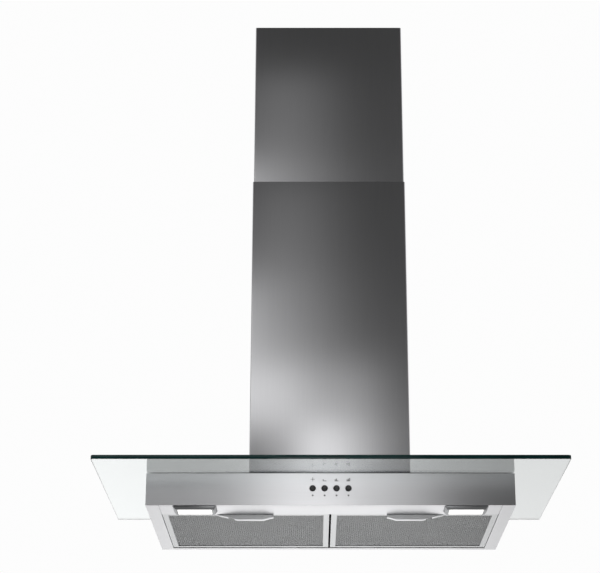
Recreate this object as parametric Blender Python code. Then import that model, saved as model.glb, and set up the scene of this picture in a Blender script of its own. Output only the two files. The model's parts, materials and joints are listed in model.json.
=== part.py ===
"""Wall-mounted chimney range hood with a flat glass canopy, modelled as separate pieces.

Units are metres and +Z is up. The origin is the centre of the hood body's rear face, on the wall plane y = 0,
and the front of the hood faces -Y.
"""
import math

import bmesh
import bpy
from mathutils import Matrix, Vector

# ---- driving dimensions -------------------------------------------------------------------------
GAP = 0.0003                # clearance left between pieces that touch
SHEET = 0.001               # folded steel sheet of the body

BODY_WIDTH = 0.706
BODY_DEPTH = 0.401
BODY_BOTTOM = -0.032
BODY_TOP = 0.0305
SIDE_FLANGE = 0.025         # width of the turned-in lower edges at the sides
REAR_FLANGE = 0.0155
LAMP_PANEL_DEPTH = 0.0755

GLASS_WIDTH = 0.898
GLASS_DEPTH = 0.500
GLASS_THICKNESS = 0.008
GLASS_BOTTOM = 0.0325
GLASS_CORNER = 0.006
GLASS_NOTCH_HALF = 0.150    # notch for the blower, open to the wall
GLASS_NOTCH_DEPTH = 0.240

COVER_SHEET = 0.0008
COVER_BEND = 0.003
LOWER_WIDTH = 0.324
UPPER_WIDTH = 0.3202
COVER_DEPTH = 0.250
LOWER_TOP = 0.709
UPPER_TOP = 1.082
UPPER_LENGTH = 0.450
COVER_BACK = -0.0006

CHASSIS_HALF = 0.140        # blower box
CHASSIS_FRONT = -0.228
CHASSIS_BACK = -0.018
CHASSIS_TOP = 0.360
BLOWER_Y = (CHASSIS_FRONT + CHASSIS_BACK) / 2
BLOWER_Z = 0.160
SCROLL_HALF = 0.075
SCROLL_RADIUS = 0.096
SCROLL_NECK = 0.060         # half the depth of the neck that leads up to the spigot
INLET_RADIUS = 0.060
WHEEL_RADIUS = 0.072
WHEEL_HALF = 0.058
WHEEL_BLADES = 18
SHAFT_RADIUS = 0.004
OUTLET_RADIUS = 0.075       # 150 mm duct spigot
OUTLET_WALL = 0.0012
COLLAR_HEIGHT = 0.060
COLLAR_FLANGE = 0.088
COLLAR_SCREWS = 0.0815      # radius of the circle that the flange screws stand on
FLAP_RADIUS = 0.0715

FILTER_WIDTH = 0.325
FILTER_HALF_GAP = 0.002     # half the slit between the two filters
FILTER_FRONT = -0.3245
FILTER_BACK = -0.0225
FILTER_BOTTOM = -0.0316
FILTER_HEIGHT = 0.009
FILTER_RIM = 0.011
MESH_PACK = 0.0025          # solid thickness of the mesh pack, about its real mass
HINGE_Y = -0.0163
HINGE_Z = -0.0304

LAMP_X = 0.260
LAMP_Y = -0.372
LAMP_PROUD = 0.0065
BEZEL_SIZE = (0.0845, 0.0490)
LENS_SIZE = (0.0660, 0.0405)

BUTTON_RADIUS = 0.00585
BUTTON_PITCH = 0.0228
BUTTON_Z = 0.001
BUTTON_PROUD = 0.0022
BUTTON_LENGTH = 0.016

SIDES = (("left", -1), ("right", 1))

# ---- finishes: colour, roughness, metallic ------------------------------------------------------
FINISHES = {
    "brushed_steel": ((0.62, 0.62, 0.63), 0.32, 1.0),
    "galvanised_steel": ((0.55, 0.57, 0.58), 0.45, 1.0),
    "glass": ((0.80, 0.88, 0.86), 0.03, 0.0),
    "rubber": ((0.03, 0.03, 0.03), 0.80, 0.0),
    "aluminium": ((0.70, 0.71, 0.72), 0.38, 1.0),
    "filter_mesh": ((0.45, 0.45, 0.46), 0.55, 1.0),
    "black_plastic": ((0.015, 0.015, 0.017), 0.35, 0.0),
    "grey_plastic": ((0.30, 0.31, 0.32), 0.50, 0.0),
    "white_plastic": ((0.85, 0.85, 0.84), 0.45, 0.0),
    "lamp_glass": ((0.95, 0.95, 0.92), 0.25, 0.0),
    "circuit_board": ((0.05, 0.22, 0.10), 0.55, 0.0),
    "zinc_screw": ((0.66, 0.66, 0.62), 0.35, 1.0),
}


def clear_scene():
    for thing in list(bpy.data.objects):
        bpy.data.objects.remove(thing, do_unlink=True)


def make_finish(name):
    colour, roughness, metallic = FINISHES[name]
    finish = bpy.data.materials.new(name)
    finish.use_nodes = True
    shader = finish.node_tree.nodes["Principled BSDF"]
    shader.inputs["Base Color"].default_value = (*colour, 1.0)
    shader.inputs["Roughness"].default_value = roughness
    shader.inputs["Metallic"].default_value = metallic
    return finish


def finish_of(name):
    return bpy.data.materials.get(name) or make_finish(name)


# ---- shape helpers ------------------------------------------------------------------------------
def place(bm, name, finish, origin=(0.0, 0.0, 0.0), smooth=False):
    """Turn a bmesh drawn in world coordinates into an object whose origin is at the given point."""
    bmesh.ops.recalc_face_normals(bm, faces=bm.faces[:])
    bmesh.ops.translate(bm, verts=bm.verts[:], vec=-Vector(origin))
    mesh = bpy.data.meshes.new(name)
    bm.to_mesh(mesh)
    bm.free()
    if smooth:
        mesh.shade_smooth()
        mesh.set_sharp_from_angle(angle=math.radians(35))
    mesh.materials.append(finish_of(finish))
    piece = bpy.data.objects.new(name, mesh)
    piece.location = origin
    bpy.context.collection.objects.link(piece)
    return piece


def cut(piece, bm, label, operation="DIFFERENCE"):
    """Boolean the piece with a hidden tool shape drawn in world coordinates."""
    tool = place(bm, f"tool_{label}", "rubber")
    tool.hide_render = True
    tool.display_type = "WIRE"
    change = piece.modifiers.new(label, "BOOLEAN")
    change.operation = operation
    change.solver = "EXACT"
    change.object = tool


def slab(low, high):
    bm = bmesh.new()
    bmesh.ops.create_cube(bm, size=1.0)
    size = [high[i] - low[i] for i in range(3)]
    middle = [(high[i] + low[i]) / 2 for i in range(3)]
    bmesh.ops.scale(bm, verts=bm.verts[:], vec=size)
    bmesh.ops.translate(bm, verts=bm.verts[:], vec=middle)
    return bm


PLANES = {"xy": Matrix.Identity(4),
          "xz": Matrix(((1, 0, 0, 0), (0, 0, 1, 0), (0, 1, 0, 0), (0, 0, 0, 1))),
          "yz": Matrix(((0, 0, 1, 0), (1, 0, 0, 0), (0, 1, 0, 0), (0, 0, 0, 1)))}


def prism(loops, start, end, plane="xy"):
    """Extrude an outline, given first, and its holes, from start to end across the plane."""
    bm = bmesh.new()
    for loop in loops:
        corners = [bm.verts.new((u, v, start)) for u, v in loop]
        for first, second in zip(corners, corners[1:] + corners[:1]):
            bm.edges.new((first, second))
    bmesh.ops.triangle_fill(bm, use_beauty=True, edges=bm.edges[:])
    grown = bmesh.ops.extrude_face_region(bm, geom=bm.faces[:])
    new_verts = [item for item in grown["geom"] if isinstance(item, bmesh.types.BMVert)]
    bmesh.ops.translate(bm, verts=new_verts, vec=(0, 0, end - start))
    bmesh.ops.transform(bm, matrix=PLANES[plane], verts=bm.verts[:])
    return bm


def rectangle(left, right, low, high):
    return [(left, low), (right, low), (right, high), (left, high)]


def arc(centre, radius, start, end, steps):
    """Points along an arc, angles in degrees."""
    turns = [math.radians(start + (end - start) * i / steps) for i in range(steps + 1)]
    return [(centre[0] + radius * math.cos(a), centre[1] + radius * math.sin(a)) for a in turns]


def circle(centre, radius, steps=32):
    return arc(centre, radius, 0, 360, steps)[:-1]


def rounded_rectangle(middle, size, radius, steps=3):
    points = []
    for number, (sx, sy) in enumerate(((1, 1), (-1, 1), (-1, -1), (1, -1))):
        corner = (middle[0] + sx * (size[0] / 2 - radius), middle[1] + sy * (size[1] / 2 - radius))
        points += arc(corner, radius, 90 * number, 90 * number + 90, steps)
    return points


def turned(profile, steps=32):
    """Spin a closed (radius, height) profile about Z. Points on the axis become poles."""
    bm = bmesh.new()
    corners = [bm.verts.new((radius, 0, height)) for radius, height in profile]
    closed = corners[1:] + corners[:1]
    if profile[0][0] == 0 and profile[-1][0] == 0:
        closed = corners[1:]
    edges = [bm.edges.new(pair) for pair in zip(corners, closed)]
    bmesh.ops.spin(bm, geom=corners + edges, cent=(0, 0, 0), axis=(0, 0, 1),
                   angle=math.tau, steps=steps, use_merge=True)
    bmesh.ops.remove_doubles(bm, verts=bm.verts[:], dist=0.000001)
    return bm


AIM = {"+z": Matrix.Identity(4),
       "-z": Matrix.Rotation(math.pi, 4, "X"),
       "+x": Matrix.Rotation(math.pi / 2, 4, "Y"),
       "-x": Matrix.Rotation(-math.pi / 2, 4, "Y"),
       "+y": Matrix.Rotation(-math.pi / 2, 4, "X"),
       "-y": Matrix.Rotation(math.pi / 2, 4, "X")}


def aimed(bm, direction, base):
    """Point a shape drawn along +Z in another direction and stand it on the base point."""
    bmesh.ops.transform(bm, matrix=Matrix.Translation(base) @ AIM[direction], verts=bm.verts[:])
    return bm


def folded_strip(half_width, back, front, thickness, bend):
    """Outline of sheet folded into a U that opens towards the wall, seen from above."""
    outer = [(-half_width, back)]
    outer += arc((-half_width + bend, front + bend), bend, 180, 270, 3)
    outer += arc((half_width - bend, front + bend), bend, 270, 360, 3)
    outer += [(half_width, back)]
    inside = half_width - thickness
    small = bend - thickness
    inner = [(inside, back)]
    inner += arc((half_width - bend, front + bend), small, 360, 270, 3)
    inner += arc((-half_width + bend, front + bend), small, 270, 180, 3)
    inner += [(-inside, back)]
    return [outer + inner]


def ring_of_rectangles(rings, radius):
    """Join rounded rectangles (middle, size, height), the last back to the first, into a closed frame."""
    bm = bmesh.new()
    loops = []
    for middle, size, height in rings:
        corners = [bm.verts.new((x, y, height)) for x, y in rounded_rectangle(middle, size, radius, 2)]
        loops.append(corners)
    for lower, upper in zip(loops, loops[1:] + loops[:1]):
        count = len(lower)
        for i in range(count):
            j = (i + 1) % count
            bm.faces.new((lower[i], lower[j], upper[j], upper[i]))
    return bm


# ---- body ---------------------------------------------------------------------------------------
def make_body_shell():
    """Folded sheet: top with the blower opening, sides and back, and turned-in lower edges."""
    half = BODY_WIDTH / 2
    front = -BODY_DEPTH + SHEET + GAP
    shell = place(slab((-half, front, BODY_BOTTOM), (half, 0, BODY_TOP)), "body_shell", "brushed_steel")
    hollow = slab((-half + SHEET, front - 0.01, BODY_BOTTOM + SHEET),
                  (half - SHEET, -SHEET, BODY_TOP - SHEET))
    cut(shell, hollow, "hollow")
    mouth = slab((-half + SIDE_FLANGE, front - 0.01, BODY_BOTTOM - 0.01),
                 (half - SIDE_FLANGE, -REAR_FLANGE, BODY_BOTTOM + 0.01))
    cut(shell, mouth, "mouth")
    throat = slab((-0.128, CHASSIS_FRONT + 0.012, BODY_TOP - 0.01),
                  (0.128, CHASSIS_BACK - 0.012, BODY_TOP + 0.01))
    cut(shell, throat, "throat")
    slots = prism([rounded_rectangle((0.28, 0.010), (0.012, 0.022), 0.0055)], -0.01, 0.01, "xz")
    bmesh.ops.mirror(slots, geom=slots.verts[:] + slots.edges[:] + slots.faces[:], axis="X", merge_dist=-1)
    cut(shell, slots, "hook_slots")


def make_fascia():
    """Front panel with returns at top and bottom and four holes for the buttons."""
    half = BODY_WIDTH / 2
    front = -BODY_DEPTH
    lip = 0.008
    top_return = BODY_TOP - SHEET - GAP
    outline = [(front, BODY_BOTTOM), (front + lip, BODY_BOTTOM), (front + lip, BODY_BOTTOM + SHEET),
               (front + SHEET, BODY_BOTTOM + SHEET), (front + SHEET, top_return - SHEET),
               (front + lip, top_return - SHEET), (front + lip, top_return),
               (front + SHEET, top_return), (front + SHEET, BODY_TOP), (front, BODY_TOP)]
    side_room = SIDE_FLANGE + GAP
    fascia = place(prism([outline], -half, half, "yz"), "front_fascia", "brushed_steel")
    ends = slab((half - side_room, front + SHEET, BODY_BOTTOM - 0.01), (half + 0.01, 0, BODY_TOP + 0.01))
    bmesh.ops.mirror(ends, geom=ends.verts[:] + ends.edges[:] + ends.faces[:], axis="X", merge_dist=-1)
    cut(fascia, ends, "ends")
    holes = bmesh.new()
    for number in range(4):
        hole = bmesh.ops.create_cone(holes, cap_ends=True, segments=20, radius1=BUTTON_RADIUS + GAP,
                                     radius2=BUTTON_RADIUS + GAP, depth=0.02)
        spot = (button_x(number), front, BUTTON_Z)
        bmesh.ops.transform(holes, matrix=Matrix.Translation(spot) @ AIM["+y"], verts=hole["verts"])
    cut(fascia, holes, "button_holes")


def make_lamp_panel():
    """Strip of the underside that carries the lamps; the filter latches rest on its turned-up rear edge."""
    half = BODY_WIDTH / 2 - SIDE_FLANGE - GAP
    front = -BODY_DEPTH + 0.008 + GAP
    back = -BODY_DEPTH + LAMP_PANEL_DEPTH
    lip_top = FILTER_BOTTOM + FILTER_HEIGHT
    outline = [(front, BODY_BOTTOM), (back, BODY_BOTTOM), (back, lip_top), (back - SHEET, lip_top),
               (back - SHEET, BODY_BOTTOM + SHEET), (front, BODY_BOTTOM + SHEET)]
    panel = place(prism([outline], -half, half, "yz"), "lamp_panel", "brushed_steel")
    for name, side in SIDES:
        window = rounded_rectangle((side * LAMP_X, LAMP_Y), (0.0740, 0.0300), 0.003)
        cut(panel, prism([window], BODY_BOTTOM - 0.01, BODY_BOTTOM + 0.005), f"lamp_window_{name}")


def make_glass():
    """Flat toughened plate with a notch for the blower at the wall."""
    half = GLASS_WIDTH / 2
    notch = GLASS_NOTCH_HALF
    corner = GLASS_CORNER
    outline = [(-half, 0)]
    outline += arc((-half + corner, -GLASS_DEPTH + corner), corner, 180, 270, 4)
    outline += arc((half - corner, -GLASS_DEPTH + corner), corner, 270, 360, 4)
    outline += [(half, 0), (notch, 0), (notch, -GLASS_NOTCH_DEPTH), (-notch, -GLASS_NOTCH_DEPTH), (-notch, 0)]
    bm = prism([outline], GLASS_BOTTOM, GLASS_BOTTOM + GLASS_THICKNESS)
    place(bm, "glass_canopy", "glass")
    strip = folded_strip(BODY_WIDTH / 2 - 0.002, -0.002, -BODY_DEPTH + 0.002, 0.010, 0.012)
    place(prism(strip, BODY_TOP + GAP, GLASS_BOTTOM - GAP), "glass_seal", "rubber")


# ---- chimney ------------------------------------------------------------------------------------
def make_chimney():
    """Two telescoping U-shaped covers, the frame that locates the lower one, and the wall bracket."""
    base = GLASS_BOTTOM + GLASS_THICKNESS + GAP
    lower = folded_strip(LOWER_WIDTH / 2, COVER_BACK, -COVER_DEPTH, COVER_SHEET, COVER_BEND)
    place(prism(lower, base, LOWER_TOP), "chimney_lower", "brushed_steel", smooth=True)
    inset = (LOWER_WIDTH - UPPER_WIDTH) / 2
    upper = folded_strip(UPPER_WIDTH / 2, COVER_BACK, -COVER_DEPTH + inset, COVER_SHEET, COVER_BEND)
    place(prism(upper, UPPER_TOP - UPPER_LENGTH, UPPER_TOP), "chimney_upper", "brushed_steel",
          origin=(0, 0, UPPER_TOP), smooth=True)
    room = LOWER_WIDTH / 2 - COVER_SHEET - 2 * GAP
    foot = folded_strip(room, COVER_BACK, -COVER_DEPTH + COVER_SHEET + 2 * GAP, 0.0015, 0.003)
    place(prism(foot, base, base + 0.025), "chimney_base_frame", "galvanised_steel")
    reach = UPPER_WIDTH / 2 - COVER_SHEET - 2 * GAP
    bracket = [(-reach, -0.032), (-reach, -0.0005), (reach, -0.0005), (reach, -0.032),
               (reach - 0.002, -0.032), (reach - 0.002, -0.0025), (-reach + 0.002, -0.0025),
               (-reach + 0.002, -0.032)]
    holes = [circle((side * 0.1, UPPER_TOP - 0.025), 0.003, 12) for _, side in SIDES]
    piece = place(prism([bracket], UPPER_TOP - 0.040, UPPER_TOP - 0.010),
                  "chimney_bracket", "galvanised_steel")
    cut(piece, prism(holes[:1], -0.01, 0.01, "xz"), "screw_hole_left")
    cut(piece, prism(holes[1:], -0.01, 0.01, "xz"), "screw_hole_right")


# ---- blower -------------------------------------------------------------------------------------
def make_chassis():
    """Sheet-metal box around the blower: a wrapper, open below, and a top plate with the round outlet."""
    sides = [rectangle(-CHASSIS_HALF, CHASSIS_HALF, CHASSIS_FRONT, CHASSIS_BACK),
             rectangle(-CHASSIS_HALF + SHEET, CHASSIS_HALF - SHEET,
                       CHASSIS_FRONT + SHEET, CHASSIS_BACK - SHEET)]
    place(prism(sides, BODY_TOP + GAP, CHASSIS_TOP - SHEET - GAP), "blower_chassis", "galvanised_steel")
    top = [sides[0], circle((0, BLOWER_Y), OUTLET_RADIUS - 0.006)]
    place(prism(top, CHASSIS_TOP - SHEET, CHASSIS_TOP), "chassis_top", "galvanised_steel")


def make_scroll():
    """Two halves of the scroll casing, each with a round inlet, joined in the middle plane."""
    wall = 0.002
    neck_top = CHASSIS_TOP - SHEET - GAP
    for name, side in SIDES:
        near, far = side * GAP / 2, side * SCROLL_HALF
        piece = place(prism([circle((BLOWER_Y, BLOWER_Z), SCROLL_RADIUS, 40)], near, far, "yz"),
                      f"scroll_{name}", "grey_plastic", smooth=True)
        neck = slab((min(near, far), BLOWER_Y - SCROLL_NECK, BLOWER_Z + 0.03),
                    (max(near, far), BLOWER_Y + SCROLL_NECK, neck_top))
        cut(piece, neck, f"neck_{name}", "UNION")
        inside_far = side * (SCROLL_HALF - wall)
        past = -side * 0.01
        volute = circle((BLOWER_Y, BLOWER_Z), SCROLL_RADIUS - wall, 40)
        cut(piece, prism([volute], past, inside_far, "yz"), f"volute_{name}")
        throat = slab((min(past, inside_far), BLOWER_Y - SCROLL_NECK + wall, BLOWER_Z + 0.03),
                      (max(past, inside_far), BLOWER_Y + SCROLL_NECK - wall, neck_top + 0.01))
        cut(piece, throat, f"throat_{name}")
        inlet = circle((BLOWER_Y, BLOWER_Z), INLET_RADIUS)
        cut(piece, prism([inlet], side * 0.05, side * 0.09, "yz"), f"inlet_{name}")


def make_wheel():
    """Double-inlet centrifugal wheel: middle disc with a hub, slanted blades and two end rings."""
    centre = (BLOWER_Y, BLOWER_Z)
    hub_bore = SHAFT_RADIUS + GAP
    origin = (0, BLOWER_Y, BLOWER_Z)
    web = [circle(centre, WHEEL_RADIUS - 0.001), circle(centre, hub_bore, 16)]
    wheel = place(prism(web, -0.001, 0.001, "yz"),
                  "blower_wheel", "galvanised_steel", origin=origin)
    hub = prism([circle(centre, 0.010, 16), circle(centre, hub_bore, 16)], -0.009, 0.009, "yz")
    cut(wheel, hub, "hub", "UNION")
    for name, side in SIDES:
        rim = prism([circle(centre, WHEEL_RADIUS), circle(centre, WHEEL_RADIUS - 0.010)],
                    side * (WHEEL_HALF - 0.003), side * WHEEL_HALF, "yz")
        cut(wheel, rim, f"rim_{name}", "UNION")
    blades = bmesh.new()
    for number in range(WHEEL_BLADES):
        blade = bmesh.ops.create_cube(blades, size=1.0)["verts"]
        bmesh.ops.scale(blades, verts=blade, vec=(2 * WHEEL_HALF - 0.002, 0.0012, 0.0085))
        bmesh.ops.rotate(blades, verts=blade, matrix=Matrix.Rotation(math.radians(28), 3, "X"))
        bmesh.ops.translate(blades, verts=blade, vec=(0, 0, WHEEL_RADIUS - 0.0055))
        around = math.tau * number / WHEEL_BLADES
        bmesh.ops.rotate(blades, verts=blade, matrix=Matrix.Rotation(around, 3, "X"))
        bmesh.ops.translate(blades, verts=blade, vec=origin)
    cut(wheel, blades, "blades", "UNION")
    shaft = turned([(0, 0), (SHAFT_RADIUS, 0), (SHAFT_RADIUS, 0.026), (0, 0.026)], 16)
    place(aimed(shaft, "+x", (-0.013, BLOWER_Y, BLOWER_Z)), "motor_shaft", "zinc_screw",
          origin=origin, smooth=True)


def make_motor():
    """Motor inside the left inlet, on a bracket with three arms."""
    profile = [(0, 0), (0.030, 0), (0.044, 0.008), (0.044, 0.074), (0.028, 0.084), (0, 0.084)]
    motor = aimed(turned(profile, 28), "+x", (-0.0985, BLOWER_Y, BLOWER_Z))
    place(motor, "motor", "galvanised_steel", smooth=True)
    centre = (BLOWER_Y, BLOWER_Z)
    outline = []
    for number in range(3):
        middle = 90 + 120 * number
        outline += arc(centre, 0.070, middle - 7, middle + 7, 2)
        outline += arc(centre, 0.052, middle + 18, middle + 102, 6)
    bracket = prism([outline, circle(centre, 0.0445, 28)], -SCROLL_HALF - 0.003, -SCROLL_HALF - GAP, "yz")
    place(bracket, "motor_bracket", "galvanised_steel")


def make_outlet():
    """Duct spigot with a flange, and the two non-return flaps on their pin."""
    base = CHASSIS_TOP + GAP
    inner = OUTLET_RADIUS - OUTLET_WALL
    profile = [(inner, 0), (COLLAR_FLANGE, 0), (COLLAR_FLANGE, 0.002), (OUTLET_RADIUS, 0.002),
               (OUTLET_RADIUS, COLLAR_HEIGHT), (inner, COLLAR_HEIGHT)]
    place(aimed(turned(profile, 40), "+z", (0, BLOWER_Y, base)), "outlet_collar", "black_plastic",
          smooth=True)
    pin_z = base + 0.012
    pin_half = inner - GAP
    pin = turned([(0, 0), (0.0015, 0), (0.0015, 2 * pin_half), (0, 2 * pin_half)], 12)
    place(aimed(pin, "+y", (0, BLOWER_Y - pin_half, pin_z)), "flap_pin", "zinc_screw", smooth=True)
    for name, side in SIDES:
        near = 0.0028
        reach = math.degrees(math.acos(near / FLAP_RADIUS))
        outline = [(side * x, BLOWER_Y + y) for x, y in arc((0, 0), FLAP_RADIUS, -reach, reach, 14)]
        flap = prism([outline], pin_z - 0.0006, pin_z + 0.0006)
        place(flap, f"flap_{name}", "black_plastic", origin=(0, BLOWER_Y, pin_z))


def make_electrics():
    """Control box on the underside of the body's top sheet, with what it holds, and the cable inlet."""
    left, right, front, back = 0.160, 0.290, -0.190, -0.090
    top = BODY_TOP - SHEET - GAP
    bottom = top - 0.036
    wall = 0.002
    box = place(slab((left, front, bottom), (right, back, top)), "control_box", "white_plastic")
    hollow = slab((left + wall, front + wall, bottom - 0.01), (right - wall, back - wall, top - wall))
    cut(box, hollow, "control_box_hollow")
    cover = slab((left, front, bottom - GAP - wall), (right, back, bottom - GAP))
    place(cover, "control_box_cover", "white_plastic")
    board_z = top - wall - 0.004
    place(slab((left + 0.006, front + 0.006, board_z - 0.0016), (left + 0.078, back - 0.006, board_z)),
          "control_board", "circuit_board")
    can = turned([(0, 0), (0.0125, 0), (0.0125, 0.046), (0, 0.046)], 20)
    place(aimed(can, "+y", (right - 0.030, front + 0.020, top - wall - 0.0150)), "capacitor", "black_plastic",
          smooth=True)
    block = [(front + 0.070, top - wall - GAP), (front + 0.092, top - wall - GAP),
             (front + 0.092, top - 0.014), (front + 0.086, top - 0.020), (front + 0.070, top - 0.020)]
    place(prism([block], right - 0.046, right - 0.008, "yz"), "terminal_block", "white_plastic")
    gland = turned([(0.0045, 0), (0.011, 0), (0.011, 0.006), (0.0085, 0.008), (0.0085, 0.018),
                    (0.0045, 0.020)], 12)
    place(aimed(gland, "+z", (0.115, -0.055, CHASSIS_TOP + GAP)), "cable_gland", "black_plastic")


# ---- controls -----------------------------------------------------------------------------------
def button_x(number):
    return (number - 1.5) * BUTTON_PITCH


def make_controls():
    """Switch block behind the fascia and the four round push buttons that slide in it."""
    front = -BODY_DEPTH + SHEET + GAP
    block = place(slab((-0.052, front, -0.014), (0.052, front + 0.026, 0.016)),
                  "switch_block", "grey_plastic")
    pockets = bmesh.new()
    for number in range(4):
        pocket = bmesh.ops.create_cone(pockets, cap_ends=True, segments=20, radius1=BUTTON_RADIUS + GAP,
                                       radius2=BUTTON_RADIUS + GAP, depth=0.038)
        spot = (button_x(number), front, BUTTON_Z)
        bmesh.ops.transform(pockets, matrix=Matrix.Translation(spot) @ AIM["+y"], verts=pocket["verts"])
    cut(block, pockets, "pockets")
    names = ("button_lamp", "button_speed_1", "button_speed_2", "button_speed_3")
    face = -BODY_DEPTH - BUTTON_PROUD
    for number, name in enumerate(names):
        r = BUTTON_RADIUS
        shape = turned([(0, 0), (r - 0.0008, 0), (r, 0.0008), (r, BUTTON_LENGTH), (0, BUTTON_LENGTH)], 20)
        spot = (button_x(number), face, BUTTON_Z)
        place(aimed(shape, "+y", spot), name, "black_plastic", origin=spot, smooth=True)


# ---- filters ------------------------------------------------------------------------------------
def make_filter(name, side):
    """Cassette grease filter: rim, mesh pack, and a pull handle that draws back the sprung latch above it."""
    inner = side * FILTER_HALF_GAP
    outer = side * (FILTER_HALF_GAP + FILTER_WIDTH)
    left, right = min(inner, outer), max(inner, outer)
    origin = ((left + right) / 2, HINGE_Y, HINGE_Z)
    top = FILTER_BOTTOM + FILTER_HEIGHT
    loops = [rectangle(left, right, FILTER_FRONT, FILTER_BACK),
             rectangle(left + FILTER_RIM, right - FILTER_RIM,
                       FILTER_FRONT + FILTER_RIM, FILTER_BACK - FILTER_RIM)]
    rim = place(prism(loops, FILTER_BOTTOM, top), f"filter_frame_{name}", "aluminium", origin=origin)
    groove = slab((left + 0.002, FILTER_FRONT + 0.002, FILTER_BOTTOM + 0.0012),
                  (right - 0.002, FILTER_BACK - 0.002, top - 0.0012))
    cut(rim, groove, f"groove_{name}")
    tab_low = HINGE_Z - 0.0002
    for spot in (0.25, 0.75):
        middle = left + FILTER_WIDTH * spot
        tab = slab((middle - 0.015, FILTER_BACK - 0.0015, tab_low),
                   (middle + 0.015, HINGE_Y + 0.0073, tab_low + 0.001))
        cut(rim, tab, f"tab_{name}_{int(spot * 100)}", "UNION")
    pack_low = FILTER_BOTTOM + 0.0012 + GAP
    pack = slab((left + 0.002 + GAP, FILTER_FRONT + 0.002 + GAP, pack_low),
                (right - 0.002 - GAP, FILTER_BACK - 0.002 - GAP, pack_low + MESH_PACK))
    mesh = place(pack, f"filter_mesh_{name}", "filter_mesh", origin=origin)
    middle = (left + right) / 2
    slot = (FILTER_FRONT + 0.003, FILTER_FRONT + 0.0145)
    for piece, room in ((rim, 0.0), (mesh, GAP)):
        window = slab((middle - 0.0065 - room, slot[0] - 20 * room, FILTER_BOTTOM - 0.01),
                      (middle + 0.0065 + room, slot[1] + room, top + 0.01))
        cut(piece, window, f"latch_slot_{piece.name}")
    low = FILTER_BOTTOM - GAP
    profile = [(0.056, low), (0.016, low - 0.0095), (-0.036, low - 0.0095), (-0.0475, low - 0.006),
               (-0.054, low - 0.005), (-0.054, low)]
    outline = [(middle + side * x, z) for x, z in profile]
    handle = place(prism([outline], FILTER_FRONT + 0.001, FILTER_FRONT + 0.015, "xz"),
                   f"filter_handle_{name}", "aluminium", origin=origin)
    grip = slab((middle - 0.034, FILTER_FRONT + 0.0035, low - 0.0080),
                (middle + 0.034, FILTER_FRONT + 0.03, low - 0.0012))
    cut(handle, grip, f"grip_{name}")
    latch_z = top + GAP
    latch_front = FILTER_FRONT - 0.0045
    stem_front, stem_back = slot[0] + GAP, slot[0] + 0.0055
    latch_back, latch_top = FILTER_FRONT + 0.028, latch_z + 0.0012
    outline = [(latch_front, latch_z), (stem_front, latch_z), (stem_front, FILTER_BOTTOM),
               (stem_back, FILTER_BOTTOM), (stem_back, latch_z), (latch_back, latch_z),
               (latch_back, latch_top), (latch_front, latch_top)]
    latch = prism([outline], middle - 0.006, middle + 0.006, "yz")
    place(latch, f"filter_latch_{name}", "galvanised_steel", origin=(middle, FILTER_FRONT, latch_z))


# ---- lamps --------------------------------------------------------------------------------------
def make_lamp(name, side):
    """Lamp under the front strip: bezel with sloping ends, lens, bulb and its socket."""
    middle = (side * LAMP_X, LAMP_Y)
    outer_top = BODY_BOTTOM - GAP
    outer_low = outer_top - LAMP_PROUD
    rings = [(middle, BEZEL_SIZE, outer_top),
             (middle, (BEZEL_SIZE[0] - 0.010, BEZEL_SIZE[1] - 0.004), outer_low),
             (middle, LENS_SIZE, outer_low),
             (middle, LENS_SIZE, outer_low + 0.0025),
             (middle, (0.0690, 0.0260), outer_low + 0.0045),
             (middle, (0.0690, 0.0260), BODY_BOTTOM + 0.010),
             (middle, (0.0730, 0.0290), BODY_BOTTOM + 0.010),
             (middle, (0.0730, 0.0290), outer_top)]
    place(ring_of_rectangles(rings, 0.003), f"lamp_bezel_{name}", "brushed_steel")
    lens = rounded_rectangle(middle, (LENS_SIZE[0] - 2 * GAP, LENS_SIZE[1] - 2 * GAP), 0.003, 2)
    place(prism([lens], outer_low + 0.0002, outer_low + 0.0022), f"lamp_lens_{name}", "lamp_glass")
    socket_x = side * (LAMP_X + 0.028)
    socket = slab((socket_x - 0.006, LAMP_Y - 0.008, BODY_BOTTOM - 0.001),
                  (socket_x + 0.006, LAMP_Y + 0.008, BODY_BOTTOM + 0.014))
    place(socket, f"lamp_socket_{name}", "white_plastic")
    bulb = turned([(0, 0), (0.0035, 0), (0.0048, 0.002), (0.0048, 0.024), (0.0030, 0.029), (0, 0.030)], 16)
    direction = "-x" if side > 0 else "+x"
    start = (socket_x - side * (0.006 + GAP), LAMP_Y, BODY_BOTTOM + 0.005)
    place(aimed(bulb, direction, start), f"lamp_bulb_{name}", "lamp_glass", smooth=True)


# ---- wall hooks and screws ----------------------------------------------------------------------
def make_hooks():
    """Angle plates inside the back that hang on the wall screws, one at each end."""
    for name, side in SIDES:
        near = -SHEET - GAP
        outline = [(near, -0.012), (near, 0.026), (near - 0.020, 0.026), (near - 0.020, 0.024),
                   (near - 0.002, 0.024), (near - 0.002, -0.012)]
        plate = place(prism([outline], side * 0.262, side * 0.298, "yz"), f"wall_hook_{name}",
                      "galvanised_steel")
        hole = prism([rounded_rectangle((side * 0.28, 0.010), (0.0085, 0.018), 0.004)], -0.02, 0.01, "xz")
        cut(plate, hole, f"hook_hole_{name}")


def make_screws():
    """Pan-head screws that hold the spigot's flange down on the blower box."""
    for number in range(4):
        angle = math.radians(45 + 90 * number)
        spot = (COLLAR_SCREWS * math.cos(angle), BLOWER_Y + COLLAR_SCREWS * math.sin(angle),
                CHASSIS_TOP + 2 * GAP + 0.002)
        head = turned([(0, 0), (0.0042, 0), (0.0042, 0.0012), (0.0025, 0.0026), (0, 0.0028)], 12)
        place(aimed(head, "+z", spot), f"collar_screw_{number + 1}", "zinc_screw", smooth=True)


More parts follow.
